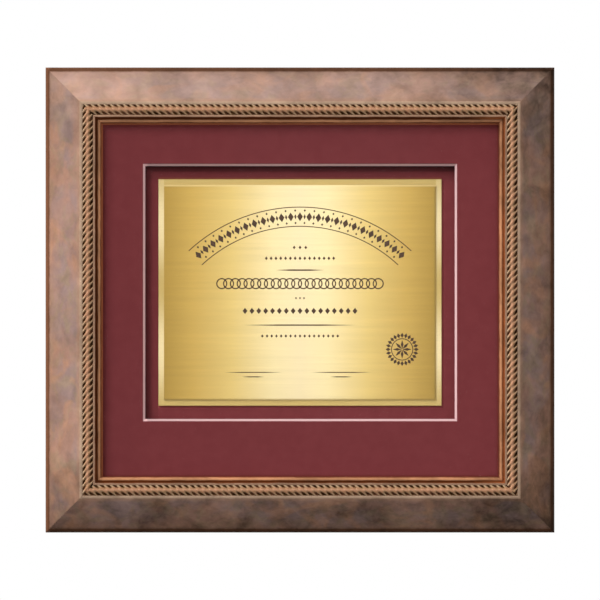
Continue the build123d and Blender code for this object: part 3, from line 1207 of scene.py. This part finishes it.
@dataclass
class RopeStrip:
    """The twisted-rope ornament of one side: one lay of the rope, repeated and mitred."""

    frame: Frame
    side: Side
    centre: float = 38.0
    width: float = 9.3
    pitch: float = 5.76
    floor: float = 30.9
    overrun: float = 3.0

    # Rows from the rope's outer edge to its middle: place outwards, lean along the rope, and the
    # heights from the middle of a strand to the valley beside it. The inner half mirrors them.
    rows: tuple[tuple[float, float, tuple[float, ...]], ...] = (
        (4.65, -5.25, (2.9, 2.6, 2.0, 1.7)),
        (4.25, -4.75, (3.05, 2.6, 1.3, 0.9)),
        (3.55, -3.9, (3.35, 2.75, 0.9, 0.4)),
        (2.75, -2.95, (3.65, 3.2, 1.3, 0.6)),
        (1.9, -1.95, (3.86, 3.6, 2.7, 2.0)),
        (1.0, -1.0, (3.96, 3.86, 3.55, 3.25)),
        (0.0, 0.0, (4.0, 3.94, 3.8, 3.65)),
    )
    columns: tuple[float, ...] = (0.07, 0.19, 0.33, 0.5)

    def lay(self, bench: Bench, pitch: float, along: int, across: int) -> None:
        """Shapes one lay of the rope from a flat grid, point by point.

        Args:
            bench: The grid, one pitch long and as wide as the rope.
            pitch: Length of one lay.
            along: The grid's cells along the rope.
            across: Its cells across the rope.
        """
        moves = []
        for point in bmesh.from_edit_mesh(bench.piece.data).verts:
            row = round((0.5 - point.co.y / self.width) * across)
            column = round((point.co.x / pitch + 0.5) * along) - along / 2
            rank = int(abs(column) - 0.5)
            half = 1 if 2 * row <= across else -1
            outward, lean, heights = self.rows[min(row, across - row)]
            share = math.copysign(self.columns[rank], column)
            target = Vector((share * pitch + half * lean, half * outward, heights[rank]))
            moves.append((point.co.copy(), target))
        for start, target in moves:
            bench.pick(Pick.POINTS, lambda point: (point.co - start).length < 0.001)
            bench.move(target - start)

    def build(self) -> None:
        """Repeats the lay along the side, mitres the ends and closes it with a flat back."""
        span, reach = self.frame.halves(self.side)
        run = 2 * (reach - self.centre)
        count = round(run / self.pitch)
        pitch = run / count
        copies = count + 2 * (math.ceil((self.centre + self.overrun) / pitch) + 2)
        along, across = 2 * len(self.columns) - 1, 2 * len(self.rows) - 2
        bench = Bench(
            f"rope_{self.side.label}_strands",
            bpy.ops.mesh.primitive_grid_add,
            x_subdivisions=along,
            y_subdivisions=across,
            size=1.0,
        )
        bench.resize((pitch, self.width, 1.0))
        self.lay(bench, pitch, along, across)
        bench.repeat(copies, pitch, join=True)
        bench.pick_all()
        bench.move((-(copies - 1) * pitch / 2, span - self.centre, self.floor))
        bench.mitre(span, reach, fill=False)
        bench.pick(Pick.EDGES, lambda edge: edge.is_boundary)
        bench.extrude(ORIGIN)
        bench.resize((1.0, 1.0, 0.0), (0.0, 0.0, self.floor))
        bpy.ops.mesh.edge_face_add()
        piece = bench.finish(self.side.place, ROPE_LEAF, smooth=60.0)
        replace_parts(piece, f"rope_{self.side.label}")


@dataclass
class Sheet:
    """The clear sheet, set a hair off the mat behind it and the lip before it."""

    width: float = 366.7
    height: float = 327.5
    back: float = 21.75
    front: float = 23.65
    arris: float = 0.2

    def build(self) -> None:
        """Makes the sheet with ground edges."""
        bench = Bench("glazing_clear")
        bench.slab(self.width, self.height, 0.0, (self.back, self.front))
        bench.pick_all()
        bench.bevel(self.arris, 1)
        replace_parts(bench.finish(FACING, GLAZING, smooth=20.0), "glazing")


@dataclass
class Plaque:
    """Polished border plate, brushed face plate and its engraving."""

    frame: Frame
    width: float = 254.0
    height: float = 203.2
    border: float = 5.1
    border_depths: Pair = (14.0, 15.6)
    border_edge: float = 0.5
    face_depths: Pair = (16.1, 17.0)
    face_edge: float = 0.3

    def plate(
        self, name: str, inset: float, depths: Pair, edge: float, finish: Finish
    ) -> bpy.types.Object:
        """Makes a sheet with softened front edges.

        Args:
            name: Its name.
            inset: How much smaller it is than the plaque on each side.
            depths: Its back and its front, counted from the wall.
            edge: Width of the softened edge.
            finish: Its finish.

        Returns:
            The sheet.
        """
        bench = Bench(name)
        size = (self.width - 2 * inset, self.height - 2 * inset)
        bench.slab(*size, self.frame.picture_z, depths)
        bench.soften(depths[1], edge, 3)
        return bench.finish(FACING, finish, smooth=30.0)

    def build(self) -> None:
        """Builds both plates and the engraving."""
        border = self.plate(
            "border_plate_polished", 0.0, self.border_depths, self.border_edge, POLISHED
        )
        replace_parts(border, "border_plate")
        face = self.plate(
            "face_plate_brushed", self.border, self.face_depths, self.face_edge, BRUSHED
        )
        layer = face.data.uv_layers.new(name="brush")
        for loop in face.data.loops:
            point = face.data.vertices[loop.vertex_index].co
            layer.data[loop.index].uv = (point.z, point.x)
        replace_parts(face, "face_plate")
        Engraving(self.frame.picture_z, self.face_depths[1]).build()


@dataclass
class Engraving:
    """Plain filled ornament on the face plate, measured in millimetres from the plaque's middle."""

    middle: float
    surface: float
    proud: float = 0.03
    arch_radius: float = 137.7
    arch_top: float = 68.0
    arch_half_turn: float = 43.0
    arch_gap: float = 8.6
    arch_count: int = 25
    arch_inset: float = 1.6
    line: float = 0.8
    link: float = 1.1

    def at(self, right: float, up: float) -> Vector:
        """A place on the plate, from the plaque's middle."""
        return Vector((right, self.middle + up, self.surface))

    def end(self, bench: Bench, proud: float = 1.0) -> None:
        """Gives a flat ornament its thickness and its fill.

        Args:
            bench: The drawn ornament.
            proud: How far it stands out of the plate, in parts of the usual height.
        """
        bench.pick_all()
        bench.extrude((0.0, 0.0, proud * self.proud))
        bench.finish(FACING, ENAMEL, smooth=20.0)

    def lozenge(self, bench: Bench, centre: Pair, half: Pair, turn: float = 0.0) -> None:
        """Draws a lozenge.

        Args:
            bench: Where it is drawn.
            centre: Its middle.
            half: Half of its width and of its height.
            turn: Its lean, in degrees clockwise.
        """
        lean = math.radians(turn)
        across = Vector((math.cos(lean), -math.sin(lean), 0.0)) * half[0]
        upward = Vector((math.sin(lean), math.cos(lean), 0.0)) * half[1]
        middle = self.at(*centre)
        bench.outline((middle - across, middle - upward, middle + across, middle + upward))

    def row(self, name: str, up: float, width: float, half: Pair, count: int) -> None:
        """Draws a centred row of lozenges.

        Args:
            name: The row's name.
            up: Its height over the plaque's middle.
            width: Its full width.
            half: Half of a lozenge's width and height.
            count: How many lozenges.
        """
        bench = Bench(name)
        self.lozenge(bench, (half[0] - width / 2, up), half)
        bench.repeat(count, (width - 2 * half[0]) / (count - 1))
        self.end(bench)

    def rule(self, name: str, centre: Pair, width: float, thick: float) -> None:
        """Draws a rule that swells towards its middle.

        Args:
            name: The rule's name.
            centre: Its middle.
            width: Its length.
            thick: Its thickness in the middle.
        """
        bench = Bench(name)
        right, up = centre
        shape = ((-1, 0), (-0.4, -1), (0.4, -1), (1, 0), (0.4, 1), (-0.4, 1))
        bench.outline([self.at(right + x * width / 2, up + y * thick / 2) for x, y in shape])
        self.end(bench)

    def band(self, name: str, centre: Pair, radius: float, start: float, turn: float) -> None:
        """Draws a thin round line.

        Args:
            name: The line's name.
            centre: The point that it goes round.
            radius: Its radius.
            start: Where it starts, in degrees clockwise from the top.
            turn: How far it goes.
        """
        bench = Bench(name)
        lean = math.radians(start)
        heart = self.at(*centre)
        way = Vector((math.sin(lean), math.cos(lean), 0.0))
        bench.stroke([heart + way * (radius + reach * self.line / 2) for reach in (-1, 1)])
        bench.spin(max(24, round(radius * math.radians(turn) / 2.5)), turn, heart)
        bench.weld()
        self.end(bench)

    def wreath(
        self, name: str, centre: Pair, radius: float, half: Pair, start: float, turn: float, count: int
    ) -> None:
        """Draws lozenges round a point.

        Args:
            name: Their name.
            centre: The point that they go round.
            radius: How far from it they are.
            half: Half of a lozenge's width and height.
            start: Where the first one is, in degrees clockwise from the top.
            turn: How far on the last one is.
            count: How many lozenges.
        """
        bench = Bench(name)
        way = math.radians(start)
        place = (centre[0] + radius * math.sin(way), centre[1] + radius * math.cos(way))
        self.lozenge(bench, place, half, start)
        bench.pick_all()
        bench.spin(count - 1, turn, self.at(*centre), copies=True)
        self.end(bench)

    def arch(self) -> None:
        """Draws the arched band: lozenges between two thin lines."""
        centre = (0.0, self.arch_top - self.arch_radius)
        half_turn = self.arch_half_turn
        for name, gap in (("over", self.arch_gap), ("under", -self.arch_gap)):
            radius = self.arch_radius + gap
            self.band(f"engraved_arch_{name}", centre, radius, -half_turn, 2 * half_turn)
        step = 2 * (half_turn - self.arch_inset) / (self.arch_count - 1)
        for name, half, reach, between in (
            ("lozenges", (2.6, 4.0), 0.0, 0),
            ("upper_points", (1.0, 1.2), 5.6, 1),
            ("lower_points", (1.0, 1.2), -5.6, 1),
            ("buds", (1.1, 2.4), 0.0, 1),
        ):
            start = self.arch_inset + between * step / 2 - half_turn
            radius, count = self.arch_radius + reach, self.arch_count - between
            self.wreath(f"engraved_arch_{name}", centre, radius, half, start, -2 * start, count)

    def chain(self, up: float, radius: float, pitch: float, count: int) -> None:
        """Draws a row of rings, each laid over the next.

        Args:
            up: Its height over the plaque's middle.
            radius: Outer radius of a ring.
            pitch: From one ring to the next.
            count: How many rings.
        """
        for place, (name, proud) in enumerate((("first", 1.0), ("second", 1.3))):
            bench = Bench(f"engraved_chain_{name}")
            right = (place - (count - 1) / 2) * pitch
            bench.stroke([self.at(right, up + radius - inward) for inward in (self.link, 0.0)])
            bench.spin(32, 360.0, self.at(right, up))
            bench.weld()
            bench.repeat(count // 2, 2 * pitch)
            self.end(bench, proud)

    def rosette(self, centre: Pair, radius: float) -> None:
        """Draws the rosette: a scalloped rim, a ring and an eight-pointed star.

        Args:
            centre: Its middle.
            radius: Its outer radius.
        """
        for name, reach, half, count in (
            ("scallops", 0.84, (1.55, 2.3), 24),
            ("star", 0.29, (1.25, 4.1), 8),
        ):
            turn = 360.0 * (count - 1) / count
            self.wreath(f"engraved_rosette_{name}", centre, reach * radius, half, 0.0, turn, count)
        self.band("engraved_rosette_ring", centre, 0.64 * radius, 0.0, 360.0)

    def build(self) -> None:
        """Draws the whole ornament, from the arch down."""
        self.arch()
        self.row("engraved_row_top", 40.4, 13.0, (1.3, 1.6), 3)
        self.row("engraved_row_upper", 30.7, 63.0, (1.3, 1.7), 15)
        self.rule("engraved_rule_upper", (0.0, 20.1), 44.0, 1.3)
        self.chain(8.0, 5.0, 6.1, 24)
        self.row("engraved_row_middle", -5.0, 9.0, (0.9, 1.1), 3)
        self.row("engraved_row_lower", -16.5, 103.0, (2.2, 2.8), 17)
        self.rule("engraved_rule_lower", (0.0, -29.2), 101.6, 1.2)
        self.row("engraved_row_last", -39.0, 70.0, (1.2, 1.5), 17)
        for name, right, width in (("left", -42.0, 52.0), ("right", 37.0, 54.0)):
            self.rule(f"engraved_line_{name}", (right, -71.6), width, 0.8)
            self.rule(f"engraved_short_line_{name}", (right, -75.6), 20.0, 0.9)
        self.rosette((91.6, -51.0), 15.0)


@dataclass
class Back:
    """What shows from behind: paper cover, strap hangers, their rings, screws and bumpers."""

    frame: Frame
    cover_inset: float = 3.0
    cover_front: float = 4.7
    cover_back: float = 4.4
    cover_cells: tuple[int, int] = (40, 36)
    hanger_x: float = 207.0
    pivot_z: float = 96.4
    metal: float = 0.8
    strap_width: float = 9.5
    strap_length: float = 27.0
    strap_gap: float = 0.02
    strap_ease: float = 0.12
    hole_drop: float = 19.5
    wire: float = 1.1
    bore_gap: float = 0.08
    ring_opening: float = 14.0
    ring_reach: float = 10.8
    ring_corner: float = 2.3
    ring_gap: float = 0.3
    head: float = 3.4
    head_height: float = 1.9
    head_round: float = 0.855
    shank: float = 1.7
    shank_length: float = 9.0
    tip_length: float = 3.0
    tip_share: float = 0.2
    cross_arm: float = 1.9
    cross_half: float = 0.42
    cross_depth: float = 1.1
    cross_lead: float = 0.4
    cross_taper: float = 0.45
    bumper: float = 6.5
    bumper_round: float = 1.8
    bumper_foot: float = 1.4
    dimple_wall: float = 0.9
    dimple_depth: float = 0.45
    bumper_x: float = 194.0
    bumper_z: float = -193.4

    # Where the paper hangs slack: right, up, how deep and how far round
    sags: tuple[tuple[float, float, float, float], ...] = (
        (-60.0, 40.0, 0.5, 115.0),
        (70.0, -30.0, 0.5, 105.0),
        (20.0, 70.0, 0.3, 85.0),
        (-90.0, -70.0, 0.35, 80.0),
        (110.0, 60.0, 0.3, 65.0),
    )

    # How the strap's outer leg comes back from its loop: place up from the ring's bar, and depth
    neck: tuple[Pair, ...] = ((-3.4, 2.55), (-4.6, 3.15), (-5.6, 3.2))

    @property
    def loop(self) -> float:
        """Outer radius of the strap's loop."""
        return self.wire + self.bore_gap + self.metal

    @property
    def pivot_depth(self) -> float:
        """Depth of the ring's straight bar in front of the wall."""
        return self.cover_back - self.loop

    def cover(self) -> None:
        """Makes the paper cover, taut on the rails and a little slack between them."""
        cells = self.cover_cells
        bench = Bench(
            "dust_cover_paper",
            bpy.ops.mesh.primitive_grid_add,
            x_subdivisions=cells[0],
            y_subdivisions=cells[1],
            size=1.0,
        )
        width = self.frame.width - 2 * self.cover_inset
        height = self.frame.height - 2 * self.cover_inset
        bench.resize((width, height, 1.0))
        bench.move((0.0, 0.0, self.cover_front))
        near_x, near_y = width / cells[0] / 2, height / cells[1] / 2
        for right, up, sag, reach in self.sags:
            bench.pick(
                Pick.POINTS,
                lambda point: abs(point.co.x - right) <= near_x and abs(point.co.y - up) <= near_y,
            )
            bpy.ops.transform.translate(
                value=(0.0, 0.0, sag),
                use_proportional_edit=True,
                proportional_edit_falloff="SMOOTH",
                proportional_size=reach,
            )
        bench.modify("SOLIDIFY", thickness=self.cover_front - self.cover_back, offset=-1.0)
        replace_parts(bench.finish(FACING, KRAFT, smooth=40.0), "dust_cover")

    def strap(self, name: str, sign: int) -> None:
        """Folds one strap round the ring's bar.

        Args:
            name: Which side it is on, as the record writes it.
            sign: 1 on the right, -1 on the left.
        """
        bench = Bench(f"{name}_strap_folded")
        radius = self.loop - self.metal / 2
        near, far = self.cover_back - self.metal / 2, self.cover_back - 1.5 * self.metal
        foot = -self.strap_length
        path = [(foot, near), (foot / 2, near), (0.0, near)]
        for step in range(1, 10):
            turn = math.radians(22.5 * step)
            path.append((radius * math.sin(turn), self.pivot_depth + radius * math.cos(turn)))
        path += [*self.neck, (foot / 2, far), (foot, far)]
        bench.stroke([(0.0, up, depth) for up, depth in path])
        bench.extrude((self.strap_width, 0.0, 0.0))
        bench.pick_all()
        bench.move((sign * self.hanger_x - self.strap_width / 2, self.pivot_z, 0.0))
        bench.modify("SOLIDIFY", thickness=self.metal - self.strap_gap, offset=0.0)
        foot += self.pivot_z
        bench.pick(
            Pick.EDGES,
            lambda edge: all(abs(point.co.y - foot) < 0.01 for point in edge.verts)
            and abs(edge.verts[0].co.x - edge.verts[1].co.x) < 0.01,
        )
        bench.bevel(self.strap_width / 2 - self.metal, 6)
        ease = {"width": self.strap_ease, "segments": 2}
        bench.modify("BEVEL", limit_method="ANGLE", angle_limit=0.9, **ease)
        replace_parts(bench.finish(FACING, ZINC, smooth=40.0), f"{name}_hanger_strap")

    def ring(self, name: str, sign: int) -> None:
        """Bends one round wire into the ring's D shape and hangs it on its bar.

        Args:
            name: Which side it is on, as the record writes it.
            sign: 1 on the right, -1 on the left.
        """
        half = self.ring_opening / 2 + self.wire
        straight = half - self.ring_corner
        rise = half - self.ring_reach
        bench = Bench(
            f"{name}_ring_wire",
            bpy.ops.mesh.primitive_circle_add,
            vertices=16,
            radius=self.wire,
            rotation=(0.0, math.radians(90), 0.0),
            location=(-straight, 0.0, 0.0),
        )
        bench.extrude((2 * straight, 0.0, 0.0))
        bench.spin(5, 90.0, (straight, -self.ring_corner, 0.0))
        bench.extrude((0.0, rise + self.ring_corner, 0.0))
        bench.spin(18, 180.0, (0.0, rise, 0.0))
        bench.extrude((0.0, -rise - self.ring_corner, 0.0))
        bench.spin(5, 90.0, (-straight, -self.ring_corner, 0.0))
        bench.weld()
        lift = 2 * self.metal + self.wire + self.ring_gap - self.loop
        tilt = math.asin(lift / (self.ring_reach - self.wire))
        pivot = Vector((sign * self.hanger_x, self.pivot_z, self.pivot_depth))
        place = FACING @ Matrix.Translation(pivot) @ Matrix.Rotation(tilt, 4, "X")
        piece = bench.finish(place, NICKEL, body=f"{name}_ring", smooth=50.0)
        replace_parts(piece, f"{name}_hanger_ring")

    def screws(self) -> None:
        """Makes both screws as one piece, as the record has them."""
        under = self.cover_back - 2 * self.metal
        top = under - self.head_height
        bench = Bench(
            "hanger_screws_pan_head",
            bpy.ops.mesh.primitive_cylinder_add,
            vertices=32,
            radius=self.head,
            depth=self.head_height,
        )
        bench.move((0.0, 0.0, under - self.head_height / 2))
        bench.soften(top, self.head_round, 5)
        bench.pick(Pick.FACES, lambda face: face.normal.z > 0.9)
        slim = self.shank / self.head
        bench.extrude(ORIGIN)
        bench.resize((slim, slim, 1.0))
        bench.extrude((0.0, 0.0, self.shank_length))
        bench.extrude((0.0, 0.0, self.tip_length))
        bench.resize((self.tip_share, self.tip_share, 1.0))
        self.recess(bench, top)
        bench.pick_all()
        bench.move((-self.hanger_x, self.pivot_z - self.hole_drop, 0.0))
        across = (2 * self.hanger_x, 0.0, 0.0)
        bpy.ops.mesh.duplicate_move(TRANSFORM_OT_translate={"value": across})
        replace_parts(bench.finish(FACING, NICKEL, smooth=35.0), "hanger_screws")

    def recess(self, bench: Bench, top: float) -> None:
        """Sinks a tapered cross into the screw's head.

        Args:
            bench: The screw.
            top: Depth of its head's outer face.
        """
        bpy.ops.object.mode_set(mode="OBJECT")
        screw = bench.piece
        cutter = Bench("cross_cutter")
        arm, thick = self.cross_arm, self.cross_half
        shape: list[Pair] = []
        for right, up in ((1, 1), (-1, 1), (-1, -1), (1, -1)):
            corner = (right * thick, up * thick)
            ends = [(right * arm, up * thick), corner, (right * thick, up * arm)]
            shape += ends if right * up > 0 else ends[::-1]
        cutter.outline([(x, y, top - self.cross_lead) for x, y in shape])
        cutter.extrude((0.0, 0.0, self.cross_depth + self.cross_lead))
        cutter.resize((self.cross_taper, self.cross_taper, 1.0))
        cutter.pick_all()
        bpy.ops.mesh.normals_make_consistent(inside=False)
        bpy.ops.object.mode_set(mode="OBJECT")
        bpy.context.view_layer.objects.active = screw
        cut = screw.modifiers.new("cross", "BOOLEAN")
        cut.operation = "DIFFERENCE"
        cut.object = cutter.piece
        bpy.ops.object.modifier_apply(modifier=cut.name)
        bpy.data.objects.remove(cutter.piece)
        screw.select_set(True)
        bpy.ops.object.mode_set(mode="EDIT")

    def bumpers(self, name: str, sign: int) -> None:
        """Makes one rubber bumper with a rounded rim and a shallow dimple.

        Args:
            name: Which side it is on, as the record writes it.
            sign: 1 on the right, -1 on the left.
        """
        bench = Bench(
            f"{name}_bumper_domed",
            bpy.ops.mesh.primitive_cylinder_add,
            vertices=40,
            radius=self.bumper,
            depth=self.cover_back,
        )
        bench.move((0.0, 0.0, self.cover_back / 2))
        bench.soften(0.0, self.bumper_round, 6)
        bench.pick(Pick.FACES, lambda face: face.normal.z < -0.999)
        bpy.ops.mesh.inset(thickness=self.bumper_foot)
        bpy.ops.mesh.inset(thickness=self.dimple_wall)
        bench.move((0.0, 0.0, self.dimple_depth))
        bench.pick_all()
        bench.move((sign * self.bumper_x, self.bumper_z, 0.0))
        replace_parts(bench.finish(FACING, RUBBER, smooth=40.0), f"{name}_bumper")

    def build(self) -> None:
        """Builds the cover and, on both sides, the hangers and bumpers."""
        self.cover()
        self.screws()
        for name, sign in (("left", -1), ("right", 1)):
            self.strap(name, sign)
            self.ring(name, sign)
            self.bumpers(name, sign)


@dataclass
class Studio:
    """Floor, light and camera."""

    photo_width: float = 0.5378
    camera_distance: float = 9.0
    picture_depth: float = 0.02
    sensor: float = 36.0
    ambient: float = 0.08
    floor_z: float = -0.47
    floor_size: float = 3.4

    def floor(self) -> None:
        """Lays the plain pale floor."""
        bpy.ops.object.select_all(action="DESELECT")
        bpy.ops.mesh.primitive_plane_add(size=self.floor_size, location=(0.0, 0.0, self.floor_z))
        ground = bpy.context.active_object
        ground.name = "studio_floor"
        graph = Graph("pale_floor")
        pale = graph.mix((206, 206, 206), (graph.noise(3.0), (210, 210, 209)))
        graph.shade(graph.mix((92, 92, 92), (graph.seen(), pale)), 0.9, 0.1)
        ground.data.materials.append(graph.material)

    def world(self) -> None:
        """Sets a white background with a little light of its own."""
        world = bpy.data.worlds.new("studio")
        bpy.context.scene.world = world
        nodes = Nodes(world)
        dim, white = (
            nodes.node("ShaderNodeBackground", {"Color": (255, 255, 255), "Strength": strength})
            for strength in (self.ambient, 1.0)
        )
        given = (nodes.seen(), dim.outputs[0], white.outputs[0])
        choice = nodes.node("ShaderNodeMixShader", enumerate(given))
        nodes.node("ShaderNodeOutputWorld", {"Surface": choice.outputs[0]})

    def lamp(self, name: str, kind: str, place: Point, **settings: Any) -> None:
        """Adds a lamp that shines from a place towards the picture.

        Args:
            name: Its name.
            kind: The lamp's type.
            place: Where it stands, as seen from the picture.
            **settings: Values of the lamp.
        """
        data = bpy.data.lights.new(name, kind)
        for key, value in settings.items():
            setattr(data, key, value)
        lamp = bpy.data.objects.new(name, data)
        bpy.context.scene.collection.objects.link(lamp)
        lamp.location = place
        lamp.rotation_euler = (-Vector(place)).to_track_quat("-Z", "Y").to_euler()
        lamp.visible_camera = False

    def sun(self, name: str, place: Point, energy: float, degrees: float) -> None:
        """Adds a far lamp that looks as wide as an angle."""
        self.lamp(name, "SUN", place, energy=energy, angle=math.radians(degrees))

    def lights(self) -> None:
        """Hangs the lamps: two from the upper left, a strip in front and a fill behind."""
        self.sun("key", (-1.0, -1.1, 1.1), 3.0, 26)
        self.sun("over", (-1.0, -0.15, 0.8), 2.5, 20)
        strip = {"energy": 3.3, "shape": "RECTANGLE", "size": 0.2, "size_y": 0.5}
        self.lamp("strip", "AREA", (0.03, -1.4, 0.12), **strip)
        self.sun("fill", (1.0, -1.2, -0.2), 0.85, 60)
        self.sun("behind", (0.5, 0.8, 0.7), 2.2, 40)

    def camera(self) -> None:
        """Stands the camera square on, at the photograph's width."""
        data = bpy.data.cameras.new("camera")
        data.sensor_width = self.sensor
        data.lens = self.sensor * (self.camera_distance - self.picture_depth) / self.photo_width
        camera = bpy.data.objects.new("camera", data)
        bpy.context.scene.collection.objects.link(camera)
        camera.location = (0.0, -self.camera_distance, 0.0)
        camera.rotation_euler = (math.radians(90), 0.0, 0.0)
        bpy.context.scene.camera = camera

    def build(self) -> None:
        """Sets up the studio."""
        self.floor()
        self.world()
        self.lights()
        self.camera()
        bpy.context.scene.view_settings.view_transform = "Standard"


def dress(finish: Finish, *nodes: str) -> None:
    """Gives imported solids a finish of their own.

    Args:
        finish: The finish.
        *nodes: Names of the solids.
    """
    for name in nodes:
        node = frame["nodes"][name]
        node.data.materials.clear()
        node.data.materials.append(finish.material())
        log.info("%s: %s", name, finish.name)


def main() -> None:
    """Builds the pieces in order, from the moulding inwards, then the studio."""
    logging.basicConfig(level=logging.INFO, format="%(message)s")
    sizes = Frame()
    for side in Side:
        Rail(sizes, side).build()
        RopeStrip(sizes, side).build()
    Sheet().build()
    Plaque(sizes).build()
    Back(sizes).build()
    dress(MAT_PAPER, "window_mat_facing")
    dress(SUNK_PAPER, "backing_mat")
    dress(MAT_CORE, "window_mat_core")
    dress(FOAM, "spacer_top", "spacer_bottom", "spacer_left", "spacer_right", "backing_board")
    dress(TAPE, "plaque_mounting_pads", "face_plate_tape")
    dress(ZINC, "board_points", "corner_wedges")
    Studio().build()


if __name__ == "__main__":
    main()
